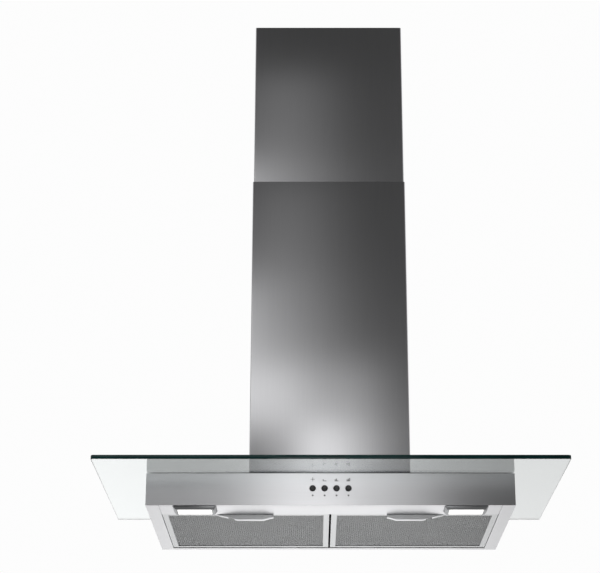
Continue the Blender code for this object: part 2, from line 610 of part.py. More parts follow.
clear_scene()
make_body_shell()
make_fascia()
make_lamp_panel()
make_glass()
make_chimney()
make_chassis()
make_scroll()
make_wheel()
make_motor()
make_outlet()
make_electrics()
make_controls()
for side_name, side_sign in SIDES:
    make_filter(side_name, side_sign)
    make_lamp(side_name, side_sign)
make_hooks()
make_screws()
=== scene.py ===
import json
import math
import bmesh
import bpy
from mathutils import Matrix, Vector


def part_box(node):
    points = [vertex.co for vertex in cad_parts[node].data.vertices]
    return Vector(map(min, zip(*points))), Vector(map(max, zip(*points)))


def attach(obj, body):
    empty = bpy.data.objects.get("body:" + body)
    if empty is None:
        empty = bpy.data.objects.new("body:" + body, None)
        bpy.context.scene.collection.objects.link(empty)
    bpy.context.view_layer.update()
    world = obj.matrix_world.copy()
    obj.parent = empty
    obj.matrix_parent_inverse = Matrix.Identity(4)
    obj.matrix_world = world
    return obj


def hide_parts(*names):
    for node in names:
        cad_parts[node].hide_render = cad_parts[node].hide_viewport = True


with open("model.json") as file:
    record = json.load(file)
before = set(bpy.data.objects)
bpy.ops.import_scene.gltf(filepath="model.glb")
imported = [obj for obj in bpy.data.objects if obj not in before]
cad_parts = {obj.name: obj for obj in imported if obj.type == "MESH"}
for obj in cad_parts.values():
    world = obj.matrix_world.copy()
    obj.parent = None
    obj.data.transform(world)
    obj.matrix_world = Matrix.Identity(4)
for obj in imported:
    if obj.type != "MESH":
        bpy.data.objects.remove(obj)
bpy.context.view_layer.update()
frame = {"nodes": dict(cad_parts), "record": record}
print("frame loaded:", len(frame["nodes"]), "pieces")

nodeBody = {}
for body, members in frame["record"]["behaviour"]["bodies"].items():
    nodeBody.update((node, body) for node in members)
nodeSlot = {part["node"]: part["material_slot"] for part in frame["record"]["subparts"]}
sides = {"left": -1, "right": 1}
buttonNames = ["button_lamp", "button_speed_1", "button_speed_2", "button_speed_3"]
perMillimetre = 1000.0     # turns repeats in each millimetre into repeats in each metre


def hexColour(code):
    # sRGB hex to linear
    parts = [int(code[i:i + 2], 16) / 255 for i in (1, 3, 5)]
    linear = [p / 12.92 if p <= 0.04045 else ((p + 0.055) / 1.055) ** 2.4 for p in parts]
    return (*linear, 1.0)


def scaled(colour, amount):
    return (*(min(1.0, part * amount) for part in colour[:3]), 1.0)


def addNode(tree, kind, inputs=(), **settings):
    # one node with its settings; inputs is a dictionary by socket, or a list in socket order
    made = tree.nodes.new(kind)
    for key, value in settings.items():
        setattr(made, key, value)
    bySocket = inputs if isinstance(inputs, dict) else dict(enumerate(inputs))
    for socket, value in bySocket.items():
        if isinstance(value, bpy.types.NodeSocket):
            tree.links.new(value, made.inputs[socket])
        else:
            made.inputs[socket].default_value = value
    return made


def newMaterial(name, **values):
    # a Principled finish with values for its sockets; returns it with its tree and shader
    finish = bpy.data.materials.new(name)
    finish.use_nodes = True
    shader = finish.node_tree.nodes["Principled BSDF"]
    for socket, value in values.items():
        shader.inputs[socket.replace("_", " ")].default_value = value
    return finish, finish.node_tree, shader


def objectPlace(tree, scale=(1, 1, 1)):
    # object coordinates, stretched to so many repeats in each metre along each axis
    place = addNode(tree, "ShaderNodeTexCoord")
    return addNode(tree, "ShaderNodeMapping", {"Vector": place.outputs["Object"], "Scale": scale}).outputs[0]


def layPattern(tree, shader, pattern, colours=None, roughness=None, bump=None):
    # lays a 0-1 pattern on a finish, between two colours, between two roughness values,
    # and as a bump of (strength, depth in metres)
    if colours:
        blend = addNode(tree, "ShaderNodeMix", {0: pattern, 6: colours[0], 7: colours[1]}, data_type="RGBA")
        tree.links.new(blend.outputs[2], shader.inputs["Base Color"])
    if roughness:
        spread = addNode(tree, "ShaderNodeMapRange",
                         {"Value": pattern, "To Min": roughness[0], "To Max": roughness[1]})
        tree.links.new(spread.outputs[0], shader.inputs["Roughness"])
    if bump:
        relief = addNode(tree, "ShaderNodeBump",
                         {"Height": pattern, "Strength": bump[0], "Distance": bump[1]})
        tree.links.new(relief.outputs[0], shader.inputs["Normal"])


def finishMesh(bm, name, materials, smoothAngle=35, flat=()):
    # turns a bmesh drawn in place into a shaded object at the origin; faces in flat stay flat
    rounded = [face not in flat for face in bm.faces]
    mesh = bpy.data.meshes.new(name)
    bm.to_mesh(mesh)
    bm.free()
    mesh.set_sharp_from_angle(angle=math.radians(smoothAngle))
    mesh.polygons.foreach_set("use_smooth", rounded)
    for finish in materials:
        mesh.materials.append(finish)
    piece = bpy.data.objects.new(name, mesh)
    bpy.context.collection.objects.link(piece)
    return piece


def settle(piece, body, stands=None):
    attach(piece, body)
    if stands:
        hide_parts(stands)
    return piece


def brushedStainless(name, grain, colour="#C8C8CA", roughness=0.32):
    # AISI 304 sheet, belt brushed: fine lines along the grain, and highlights drawn out across it
    finish, tree, shader = newMaterial(name, Metallic=1.0, Anisotropic=0.4)
    along, fine = perMillimetre / 90, perMillimetre / 0.45     # scratches 90 mm long, 0.45 mm apart
    lines = [along if axis == grain else fine for axis in "xyz"]
    scratch = addNode(tree, "ShaderNodeTexNoise", {"Vector": objectPlace(tree, lines), "Scale": 1.0,
                                                   "Detail": 3.0, "Roughness": 0.6})
    shade = hexColour(colour)
    layPattern(tree, shader, scratch.outputs["Fac"], colours=(scaled(shade, 0.93), scaled(shade, 1.07)),
               roughness=(roughness - 0.04, roughness + 0.04), bump=(0.05, 0.00001))
    facing = addNode(tree, "ShaderNodeNewGeometry").outputs["True Normal"]
    grainLine = tuple(1.0 if axis == grain else 0.0 for axis in "xyz")
    across = addNode(tree, "ShaderNodeVectorMath", [facing, grainLine], operation="CROSS_PRODUCT")
    tree.links.new(across.outputs[0], shader.inputs["Tangent"])
    return finish


def galvanisedSheet():
    # hot-dip galvanised steel: pale grey with large zinc crystals (spangle), 8 mm across
    finish, tree, shader = newMaterial("galvanisedSheet", Metallic=1.0)
    spangle = addNode(tree, "ShaderNodeTexVoronoi", {"Vector": objectPlace(tree), "Scale": perMillimetre / 8})
    shades = addNode(tree, "ShaderNodeSeparateColor", [spangle.outputs["Color"]])
    layPattern(tree, shader, shades.outputs[0], colours=(hexColour("#9A9DA0"), hexColour("#B7BABD")))
    layPattern(tree, shader, shades.outputs[1], roughness=(0.34, 0.52))
    return finish


def floatGlass():
    # 8 mm toughened float glass, faintly grey: iron in the melt gives the green seen through its
    # length, and rolling leaves ripples about 250 mm long
    finish, tree, shader = newMaterial("floatGlass", Base_Color=hexColour("#E3E4E5"), Roughness=0.0, IOR=1.52,
                                       Transmission_Weight=1.0)
    depth = addNode(tree, "ShaderNodeVolumeAbsorption", {"Color": hexColour("#79B8A2"), "Density": 9.0})
    tree.links.new(depth.outputs[0], tree.nodes["Material Output"].inputs["Volume"])
    ripple = addNode(tree, "ShaderNodeTexNoise", {"Vector": objectPlace(tree), "Scale": perMillimetre / 250,
                                                  "Detail": 2.0})
    layPattern(tree, shader, ripple.outputs["Fac"], bump=(0.02, 0.0002))
    return finish


def polishedGlassEdge():
    # ground and polished edge: light that has come the long way through the sheet, so deep green,
    # with cloudy patches 50 mm long
    finish, tree, shader = newMaterial("polishedGlassEdge", Roughness=0.12, IOR=1.52, Specular_IOR_Level=0.15)
    polish = addNode(tree, "ShaderNodeTexNoise", {"Vector": objectPlace(tree), "Scale": perMillimetre / 50,
                                                  "Detail": 2.0})
    layPattern(tree, shader, polish.outputs["Fac"], colours=(hexColour("#061818"), hexColour("#15403E")))
    return finish


def mouldedPlastic(name, colour, roughness, grainSize=0.35):
    # injection-moulded plastic with a fine spark-eroded grain, its size in millimetres
    finish, tree, shader = newMaterial(name)
    grain = addNode(tree, "ShaderNodeTexNoise",
                    {"Vector": objectPlace(tree), "Scale": perMillimetre / grainSize, "Detail": 2.0})
    base = hexColour(colour)
    layPattern(tree, shader, grain.outputs["Fac"], colours=(scaled(base, 0.9), scaled(base, 1.1)),
               roughness=(roughness - 0.06, roughness + 0.06), bump=(0.15, 0.00005))
    return finish


def rolledAluminium(name, colour, roughness):
    # mill-finish aluminium: soft rolling lines, 33 mm long and 1.25 mm apart, and faint cloudiness
    finish, tree, shader = newMaterial(name, Metallic=1.0)
    lines = (0.03 * perMillimetre, 0.8 * perMillimetre, 0.8 * perMillimetre)
    cloud = addNode(tree, "ShaderNodeTexNoise",
                    {"Vector": objectPlace(tree, lines), "Scale": 1.0, "Detail": 3.0})
    base = hexColour(colour)
    layPattern(tree, shader, cloud.outputs["Fac"], colours=(scaled(base, 0.9), scaled(base, 1.08)),
               roughness=(roughness - 0.08, roughness + 0.08))
    return finish


def frostedLens():
    # frosted polycarbonate lamp cover, lit from behind, with a fine ripple across it
    finish, tree, shader = newMaterial("frostedPolycarbonate", Base_Color=hexColour("#F7F7F4"),
                                       Roughness=0.35, Emission_Color=hexColour("#FFFEFA"),
                                       Emission_Strength=0.75)
    rib = addNode(tree, "ShaderNodeTexWave", {"Vector": objectPlace(tree), "Scale": 0.5 * perMillimetre},
                  bands_direction="X")
    layPattern(tree, shader, rib.outputs["Fac"], bump=(0.3, 0.0002))
    return finish


def screenInk():
    # thin grey screen print on the steel, with flecks a third of a millimetre wide
    finish, tree, shader = newMaterial("screenPrintInk", Roughness=0.5)
    fleck = addNode(tree, "ShaderNodeTexNoise", {"Vector": objectPlace(tree), "Scale": 3.0 * perMillimetre})
    layPattern(tree, shader, fleck.outputs["Fac"], colours=(hexColour("#6B6B6D"), hexColour("#858587")))
    return finish


steelAlongX = brushedStainless("brushedStainlessAcross", "x")
steelAlongY = brushedStainless("brushedStainlessDeep", "y")
steelUpright = brushedStainless("brushedStainlessUpright", "z")
# lamp bezels: the same satin steel in a darker grey, the grey painted shade round each lamp window
bezelSteelPaintedShade = brushedStainless("satinStainlessBezelPaintedShade", "x", "#97989A", 0.4)
galvanised = galvanisedSheet()
canopyGlassFinish = floatGlass()
glassEdgeFinish = polishedGlassEdge()
blackAbs = mouldedPlastic("blackAbs", "#141416", 0.32)
greyPolypropylene = mouldedPlastic("greyPolypropylene", "#595B5D", 0.5)
whiteNylon = mouldedPlastic("whiteNylon", "#DAD9D4", 0.45)
foamStrip = mouldedPlastic("foamRubber", "#1B1B1B", 0.85, 0.8)
solderMask = mouldedPlastic("greenSolderMask", "#1F5B33", 0.35, 1.5)
frameAluminium = rolledAluminium("rolledAluminium", "#C6C7C8", 0.42)
handleAluminium = rolledAluminium("pressedAluminium", "#E2E3E4", 0.46)
meshAluminium = rolledAluminium("expandedAluminium", "#AAABAC", 0.45)
# knitted core: duller aluminium, its darker grey painted shade deep inside the filter behind the mesh layers
knitAluminiumPaintedShade = rolledAluminium("knittedAluminiumPaintedShade", "#8F9091", 0.5)
castAluminium = rolledAluminium("castAluminium", "#B5B6B6", 0.5)
bulbGlass = mouldedPlastic("opalBulbGlass", "#F2F0E8", 0.2)
zincPlate = rolledAluminium("zincPlate", "#B9B8AE", 0.3)
lensFinish = frostedLens()
printInk = screenInk()
slotFinish = {
    "brushed_steel": steelAlongX, "galvanised_steel": galvanised, "canopy_glass": canopyGlassFinish,
    "seal": foamStrip, "filter_aluminium": frameAluminium, "filter_mesh": meshAluminium,
    "black_plastic": blackAbs, "grey_plastic": greyPolypropylene, "white_plastic": whiteNylon,
    "lamp_glass": lensFinish, "circuit_board": solderMask, "zinc_screw": zincPlate,
}
for nodeName, nodeObject in frame["nodes"].items():
    nodeObject.data.materials.clear()
    nodeObject.data.materials.append(slotFinish[nodeSlot[nodeName]])
print("materials made")


def corners(nodeName):
    low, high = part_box(nodeName)
    return Vector(low), Vector(high)


def centreOf(nodeName):
    low, high = corners(nodeName)
    return (low + high) / 2, high - low


def merged(bm, gap=0.000002):
    bmesh.ops.remove_doubles(bm, verts=bm.verts[:], dist=gap)
    bmesh.ops.recalc_face_normals(bm, faces=bm.faces[:])
    return bm


def vertsOf(result):
    # the vertices that an extrude made
    return [item for item in result["geom"] if isinstance(item, bmesh.types.BMVert)]


folding = {"merge": 0.000002, "level": 1, "sharp": 28, "sameWay": 0.99999}     # metres, degrees, cosine


def softened(nodeName, width, finishes=None, segments=2, pick=None, reshape=None):
    # a merged copy of a CAD piece with its folded or moulded edges rounded; its flat faces stay flat
    level, sharp = math.radians(folding["level"]), math.radians(folding["sharp"])
    bm = bmesh.new()
    bm.from_mesh(frame["nodes"][nodeName].data)
    bmesh.ops.remove_doubles(bm, verts=bm.verts[:], dist=folding["merge"])
    bmesh.ops.dissolve_limit(bm, angle_limit=level, verts=bm.verts[:], edges=bm.edges[:])
    if reshape:
        reshape(bm)
    folds = [(edge, edge.calc_face_angle(0)) for edge in bm.edges]
    bent = {face for edge, fold in folds if level < fold < sharp for face in edge.link_faces}
    planes = [(face.normal.copy(), face.normal.dot(face.verts[0].co))
              for face in bm.faces if face not in bent]
    creases = [edge for edge, fold in folds if len(edge.link_faces) == 2 and fold > sharp]
    bmesh.ops.bevel(bm, geom=creases, offset=width, offset_type="OFFSET", segments=segments, profile=0.5,
                    affect="EDGES", material=-1, clamp_overlap=True)
    bm.normal_update()

    def onPlane(face, normal, height):
        level = abs(normal.dot(face.verts[0].co) - height) < folding["merge"]
        return level and face.normal.dot(normal) > folding["sameWay"]

    flat = {face for face in bm.faces if any(onPlane(face, *plane) for plane in planes)}
    if pick:
        for face in bm.faces:
            face.material_index = pick(face.normal)
    finishes = finishes or [slotFinish[nodeSlot[nodeName]]]
    piece = finishMesh(bm, nodeName + "_finished", finishes, flat=flat)
    return settle(piece, nodeBody[nodeName], nodeName)


def spun(profile, steps):
    # a turned shape about +Z from (radius, height) points: they start and end on the axis, or close a ring
    bm = bmesh.new()
    points = [bm.verts.new((radius, 0, height)) for radius, height in profile]
    lines = [bm.edges.new(pair) for pair in zip(points, points[1:])]
    if profile[0][0] > 0 and profile[-1][0] > 0:
        lines.append(bm.edges.new((points[-1], points[0])))
    bmesh.ops.spin(bm, geom=points + lines, cent=(0, 0, 0), axis=(0, 0, 1), angle=math.tau, steps=steps,
                   use_merge=True)
    return merged(bm, 0.0000005)


def pointed(bm, direction, place):
    # turns +Z to a direction and moves the shape to its place
    turn = Vector((0, 0, 1)).rotation_difference(Vector(direction)).to_matrix()
    bmesh.ops.rotate(bm, verts=bm.verts[:], cent=(0, 0, 0), matrix=turn)
    bmesh.ops.translate(bm, verts=bm.verts[:], vec=place)
    return bm


def turnedPiece(nodeName, label, finish, profile, steps, direction, place):
    # a turned shape that stands for a CAD piece
    piece = finishMesh(pointed(spun(profile, steps), direction, place), nodeName + label, [finish])
    return settle(piece, nodeBody[nodeName], nodeName)


def turnedPin(nodeName, direction, chamfer, steps):
    # a plain pin with chamfered ends
    centre, size = centreOf(nodeName)
    half, radius = size.dot(Vector(direction)) / 2, size.z / 2
    end, inner = half - chamfer, radius - chamfer
    profile = [(0, -half), (inner, -half), (radius, -end), (radius, end), (inner, half), (0, half)]
    turnedPiece(nodeName, "_turned", zincPlate, profile, steps, direction, centre)


def arcPoints(centre, radius, start, end, steps):
    angles = [math.radians(start + (end - start) * n / steps) for n in range(steps + 1)]
    return [(centre[0] + radius * math.cos(angle), centre[1] + radius * math.sin(angle)) for angle in angles]


def joined(bm, other):
    # adds a second shape to the first
    spare = bpy.data.meshes.new("spare")
    other.to_mesh(spare)
    other.free()
    bm.from_mesh(spare)
    bpy.data.meshes.remove(spare)
    return bm


# sheet steel, glass and plain mouldings

edgeRadius = {                     # outside edge radius of each folded or moulded piece, in metres
    "body_shell": 0.0005, "front_fascia": 0.0005, "lamp_panel": 0.0004, "chimney_lower": 0.00022,
    "chimney_upper": 0.00022, "blower_chassis": 0.00025, "chassis_top": 0.00025,
    "chimney_base_frame": 0.0004, "chimney_bracket": 0.0004, "wall_hook_left": 0.0004,
    "wall_hook_right": 0.0004, "glass_seal": 0.0003, "control_box": 0.0006, "control_box_cover": 0.0004,
    "terminal_block": 0.0005, "switch_block": 0.0006, "control_board": 0.0001, "motor_bracket": 0.0003,
    "scroll_left": 0.0006, "scroll_right": 0.0006, "flap_left": 0.0003, "flap_right": 0.0003,
    "lamp_bezel_left": 0.0005, "lamp_bezel_right": 0.0005, "lamp_socket_left": 0.0006,
    "lamp_socket_right": 0.0006, "filter_frame_left": 0.0003, "filter_frame_right": 0.0003,
    "filter_latch_left": 0.0003, "filter_latch_right": 0.0003,
}


def grainOnSide(normal):
    # a face on the hood's sides is brushed front to back, every other one across
    return 1 if abs(normal.x) > 0.7 else 0


def makeSheetPieces():
    for nodeName, width in edgeRadius.items():
        if nodeName.startswith("chimney_") and nodeSlot[nodeName] == "brushed_steel":
            softened(nodeName, width, [steelUpright])
        elif nodeName.startswith("lamp_bezel"):
            softened(nodeName, width, [bezelSteelPaintedShade])
        elif nodeSlot[nodeName] == "brushed_steel":
            softened(nodeName, width, [steelAlongX, steelAlongY], pick=grainOnSide)
        else:
            softened(nodeName, width)


canopy = {"arris": 0.0008, "segments": 3, "levelFace": 0.9}     # ground and polished edge of the glass


def makeCanopyGlass():
    softened("glass_canopy", canopy["arris"], [canopyGlassFinish, glassEdgeFinish],
             segments=canopy["segments"], pick=lambda normal: 1 if abs(normal.z) < canopy["levelFace"] else 0)


# filters

mesh = {
    "cell": (0.0080, 0.0055), "strand": 0.00055, "thickness": 0.0005,      # fine layer seen from below
    "backCell": (0.0120, 0.0085), "backStrand": 0.0008, "backRise": 0.0011,
    "trim": 0.0014, "coreRise": 0.0019, "coreEdge": 0.0001, "latchHalf": 0.008, "latchDepth": 0.0145,
    "smallestCell": 6,             # cells cut smaller than this many squared strands stay closed
}
handle = {"edge": 0.0007, "segments": 3}


def expandedLayer(nodeName, label, cell, strand, rise):
    # diamond mesh: a grid turned 45 degrees, stretched, trimmed, opened cell by cell and thickened
    low, high = corners(nodeName)
    middle = (low + high) / 2
    bm = bmesh.new()
    count = int(1.1 * (high - low).length / min(cell))
    quarter = Matrix.Rotation(math.radians(45), 3, "Z")
    bmesh.ops.create_grid(bm, x_segments=count, y_segments=count, size=count * math.sqrt(0.5) / 2)
    bmesh.ops.rotate(bm, verts=bm.verts[:], cent=(0, 0, 0), matrix=quarter)
    bmesh.ops.scale(bm, verts=bm.verts[:], vec=(cell[0], cell[1], 1))
    bmesh.ops.translate(bm, verts=bm.verts[:], vec=(middle.x, middle.y, low.z + rise))
    for axis in (0, 1):
        for sign, corner in ((-1, low), (1, high)):
            outward = Vector((0, 0, 0))
            outward[axis] = sign
            point = middle.copy()
            point[axis] = corner[axis] - sign * mesh["trim"]
            bmesh.ops.bisect_plane(bm, geom=bm.verts[:] + bm.edges[:] + bm.faces[:], plane_co=point,
                                   plane_no=outward, clear_outer=True)
    room = mesh["latchHalf"] + cell[0] / 2
    spots = [(face, face.calc_center_median()) for face in bm.faces]
    atLatch = [face for face, spot in spots
               if abs(spot.x - middle.x) < room and spot.y < low.y + mesh["latchDepth"]]
    bmesh.ops.delete(bm, geom=atLatch, context="FACES")
    openCells = [face for face in bm.faces if face.calc_area() > mesh["smallestCell"] * strand * strand]
    bmesh.ops.inset_individual(bm, faces=openCells, thickness=strand, use_even_offset=True)
    bmesh.ops.delete(bm, geom=openCells, context="FACES")
    bmesh.ops.solidify(bm, geom=bm.faces[:], thickness=mesh["thickness"])
    piece = finishMesh(merged(bm), nodeName + label, [meshAluminium], 50)
    settle(piece, nodeBody[nodeName])


def makeFilter(side):
    nodeName = "filter_mesh_" + side
    low = corners(nodeName)[0]
    expandedLayer(nodeName, "_face", mesh["cell"], mesh["strand"], 0.0)
    expandedLayer(nodeName, "_back", mesh["backCell"], mesh["backStrand"], mesh["backRise"])

    def raiseUnderside(bm):
        # the knitted core starts above both layers
        for vert in bm.verts:
            if vert.co.z < low.z + mesh["thickness"]:
                vert.co.z = low.z + mesh["coreRise"]

    softened(nodeName, mesh["coreEdge"], [knitAluminiumPaintedShade], segments=1, reshape=raiseUnderside)
    softened("filter_handle_" + side, handle["edge"], [handleAluminium], segments=handle["segments"])


# lamps

lens = {"rib": 0.0015, "depth": 0.0002, "thickness": 0.0016, "plainRim": 0.46, "rows": 12}
bulb = {"neck": 0.72, "tip": 0.6, "pinch": (0.93, 0.75, 0.62), "steps": 24}     # shares of its size


def makeLens(side):
    # ribbed cover: ribs run front to back, inside a plain rim
    nodeName = "lamp_lens_" + side
    centre, size = centreOf(nodeName)
    bm = bmesh.new()
    ribs = 2 * round(size.x / lens["rib"] / 2)
    bmesh.ops.create_grid(bm, x_segments=2 * ribs, y_segments=lens["rows"], size=0.5)
    bmesh.ops.scale(bm, verts=bm.verts[:], vec=(size.x, size.y, 1))
    for vert in bm.verts:
        inside = max(abs(vert.co.x) / size.x, abs(vert.co.y) / size.y) < lens["plainRim"]
        wave = 1 + math.cos(math.tau * vert.co.x / lens["rib"])
        vert.co.z = lens["depth"] * wave / 2 if inside else 0
    bmesh.ops.translate(bm, verts=bm.verts[:], vec=(centre.x, centre.y, corners(nodeName)[0].z))
    walls = bmesh.ops.extrude_edge_only(bm, edges=[edge for edge in bm.edges if edge.is_boundary])
    bmesh.ops.translate(bm, verts=vertsOf(walls), vec=(0, 0, lens["thickness"]))
    bmesh.ops.holes_fill(bm, edges=[edge for edge in bm.edges if edge.is_boundary], sides=0)
    piece = finishMesh(merged(bm), nodeName + "_ribbed", [lensFinish], 60)
    settle(piece, nodeBody[nodeName], nodeName)


def makeBulb(side):
    # small capsule: flat pinched foot in the socket, straight wall and a round end
    nodeName = "lamp_bulb_" + side
    centre, size = centreOf(nodeName)
    half, radius = size.x / 2, size.z / 2
    neck, pinch = radius * bulb["neck"], bulb["pinch"]
    profile = [(0, -half), (radius * bulb["tip"], -half), (neck, -half * pinch[0]), (neck, -half * pinch[1]),
               (radius, -half * pinch[2])]
    profile += arcPoints((0, half - radius), radius, 0, 80, 6) + [(0, half)]
    turnedPiece(nodeName, "_capsule", bulbGlass, profile, bulb["steps"], (-sides[side], 0, 0), centre)


# push buttons, with a printed sign above and a dot below each

button = {"dish": 0.0005, "dishReach": 0.8, "edge": 0.0007, "steps": 48}
signs = {
    "rise": 0.0176, "drop": 0.0139, "size": 0.0070, "line": 0.0014, "ink": 0.00008, "dot": 0.0018,
    "disc": 0.45, "rayAt": 0.42, "rayLength": 0.2,                                    # shares of the size
    "barPitch": 0.36, "barWidth": 0.24, "shortest": 0.36, "step": 0.18, "foot": 0.34, "base": 0.44,
}


def makeButton(nodeName):
    centre, size = centreOf(nodeName)
    radius, length = size.x / 2, size.y
    dish, edge = button["dish"], button["edge"]
    rings = [n / 5 for n in range(1, 6)]
    profile = [(0, dish)] + [(radius * button["dishReach"] * ring, dish * (1 - ring ** 2)) for ring in rings]
    profile += [(radius - edge, 0)] + arcPoints((radius - edge, edge), edge, -70, 0, 4)
    profile += [(radius, length), (0, length)]
    face = (centre.x, centre.y - length / 2, centre.z)
    piece = finishMesh(pointed(spun(profile, button["steps"]), (0, 1, 0), face), nodeName + "_domed",
                       [blackAbs], 40)
    settle(piece, nodeBody[nodeName], nodeName)


def inkShape(parts, place, name):
    # flat discs and bars of ink, each (kind, x, z, width, height), standing off the steel
    bm = bmesh.new()
    for kind, x, z, width, height in parts:
        if kind == "bar":
            made = bmesh.ops.create_grid(bm, x_segments=1, y_segments=1, size=0.5)["verts"]
            bmesh.ops.scale(bm, verts=made, vec=(width, height, 1))
        else:
            made = bmesh.ops.create_circle(bm, cap_ends=True, segments=24, radius=width / 2)["verts"]
        bmesh.ops.translate(bm, verts=made, vec=(x, z, 0))
    raised = bmesh.ops.extrude_face_region(bm, geom=bm.faces[:])
    bmesh.ops.translate(bm, verts=vertsOf(raised), vec=(0, 0, signs["ink"]))
    merged(bm)
    upright = Matrix.Rotation(math.radians(90), 3, "X")
    bmesh.ops.rotate(bm, verts=bm.verts[:], cent=(0, 0, 0), matrix=upright)
    bmesh.ops.translate(bm, verts=bm.verts[:], vec=place)
    settle(finishMesh(bm, name, [printInk]), "hood")


def makeSigns():
    # a lamp, and one, two or three bars for the speeds
    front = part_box("front_fascia")[0][1]
    size, line = signs["size"], signs["line"]
    reach, ray = size * signs["rayAt"], size * signs["rayLength"]
    for number, nodeName in enumerate(buttonNames):
        centre = centreOf(nodeName)[0]
        above = (centre.x, front, centre.z + signs["rise"])
        below = (centre.x, front, centre.z - signs["drop"])
        if number == 0:
            rays = [("bar", 0, sign * reach, line, ray) for sign in (-1, 1)]
            rays += [("bar", sign * reach, 0, ray, line) for sign in (-1, 1)]
            inkShape([("disc", 0, 0, size * signs["disc"], 0)] + rays, above, "sign_lamp")
        else:
            heights = [size * (signs["shortest"] + signs["step"] * n) for n in range(number)]
            bars = [("bar", (n - 1) * size * signs["barPitch"], height / 2 - size * signs["foot"],
                     size * signs["barWidth"], height) for n, height in enumerate(heights)]
            base = ("bar", 0, -size * signs["base"], size, line)
            inkShape(bars + [base], above, f"sign_speed_{number}")
        inkShape([("disc", 0, 0, signs["dot"] * 2, 0)], below, f"mark_{nodeName}")


# blower

wheel = {
    "blades": 36, "bladeSweep": 75, "bladeArc": 0.0075, "bladeThickness": 0.0008, "bladeSegments": 5,
    "ringWidth": 0.0098, "ringDepth": 0.003, "bladeEnd": 0.0008, "steps": 72,
}


def makeBlade(radius, half):
    # one forward-curved blade, swept about a line beside the wheel's rim
    root = radius - wheel["ringWidth"]
    end = half - wheel["bladeEnd"]
    blade = bmesh.new()
    low, high = blade.verts.new((root, 0, -end)), blade.verts.new((root, 0, end))
    edge = blade.edges.new((low, high))
    hinge = (root + wheel["bladeArc"] * 0.75, wheel["bladeArc"] * 0.66, 0)
    bmesh.ops.spin(blade, geom=[low, high, edge], cent=hinge, axis=(0, 0, 1),
                   angle=math.radians(wheel["bladeSweep"]), steps=wheel["bladeSegments"])
    bmesh.ops.recalc_face_normals(blade, faces=blade.faces[:])
    bmesh.ops.solidify(blade, geom=blade.faces[:], thickness=wheel["bladeThickness"])
    bmesh.ops.recalc_face_normals(blade, faces=blade.faces[:])
    return blade


def makeWheel():
    # middle disc, hub, a rolled ring at each end and the blades between
    centre, size = centreOf("blower_wheel")
    radius, half = size.z / 2, size.x / 2
    disc = radius - 0.001
    bm = spun([(0.0046, -0.001), (disc, -0.001), (disc, 0.001), (0.0046, 0.001)], wheel["steps"])
    joined(bm, spun([(0.0044, -0.009), (0.0092, -0.009), (0.010, -0.0082), (0.010, 0.0082),
                     (0.0092, 0.009), (0.0044, 0.009)], 32))
    for sign in sides.values():
        inside = sign * (half - wheel["ringDepth"])
        lip = [(radius - wheel["ringWidth"], sign * (half - 0.0012)), (radius - 0.0092, sign * half),
               (radius - 0.0006, sign * half), (radius, sign * (half - 0.0008)), (radius, inside),
               (radius - 0.0008, inside), (radius - 0.0012, sign * (half - 0.0010))]
        joined(bm, spun(lip, wheel["steps"]))
    for number in range(wheel["blades"]):
        blade = makeBlade(radius, half)
        around = Matrix.Rotation(math.tau * number / wheel["blades"], 3, "Z")
        bmesh.ops.rotate(blade, verts=blade.verts[:], cent=(0, 0, 0), matrix=around)
        joined(bm, blade)
    piece = finishMesh(pointed(bm, (1, 0, 0), centre), "blower_wheel_bladed", [galvanised])
    settle(piece, nodeBody["blower_wheel"], "blower_wheel")


inlet = {"radius": 0.0665, "set": 0.0075, "curl": 0.0070, "sheet": 0.0008, "steps": 64}


def makeInletRings():
    # rolled bell mouths that turn inward at both inlets
    wheelCentre = centreOf("blower_wheel")[0]
    for side, sign in sides.items():
        low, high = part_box("scroll_" + side)
        face = high[0] if sign > 0 else low[0]
        middle = (inlet["radius"], -inlet["set"])
        profile = arcPoints(middle, inlet["curl"], 95, 180, 8)
        profile += arcPoints(middle, inlet["curl"] - inlet["sheet"], 180, 95, 8)
        ring = pointed(spun(profile, inlet["steps"]), (sign, 0, 0), (face, wheelCentre.y, wheelCentre.z))
        settle(finishMesh(ring, "inlet_ring_" + side, [galvanised]), "hood")


motor = {"housing": 0.0435, "rows": 14, "pitch": 0.0022, "groove": 0.0007, "stackStart": 0.024, "steps": 48}


def makeMotor():
    # cast end bells with the stack of laminations between them, drawn as coarse grooves so that it shows
    centre, size = centreOf("motor")
    half, radius, housing = size.x / 2, size.z / 2, motor["housing"]
    start = -half + motor["stackStart"]
    profile = [(0, -half), (0.026, -half), (0.030, -half + 0.0015), (0.042, -half + 0.0085),
               (housing, -half + 0.012), (housing, start)]
    for row in range(motor["rows"]):
        low = start + row * motor["pitch"]
        sunk = radius - motor["groove"]
        profile += [(radius, low + 0.0002), (radius, low + 0.0016), (sunk, low + 0.0018),
                    (sunk, low + motor["pitch"])]
    profile += [(housing, half - 0.020), (0.0425, half - 0.010), (0.028, half - 0.0015), (0.026, half),
                (0, half)]
    turnedPiece("motor", "_laminated", castAluminium, profile, motor["steps"], (1, 0, 0), centre)
    turnedPin("motor_shaft", (1, 0, 0), 0.0004, 32)


outlet = {"radius": 0.075, "wall": 0.0012, "flange": 0.002, "fillet": 0.0015, "edge": 0.0006,
          "beads": (0.034, 0.046), "beadRadius": 0.0012, "beadSet": 0.0006, "steps": 96}


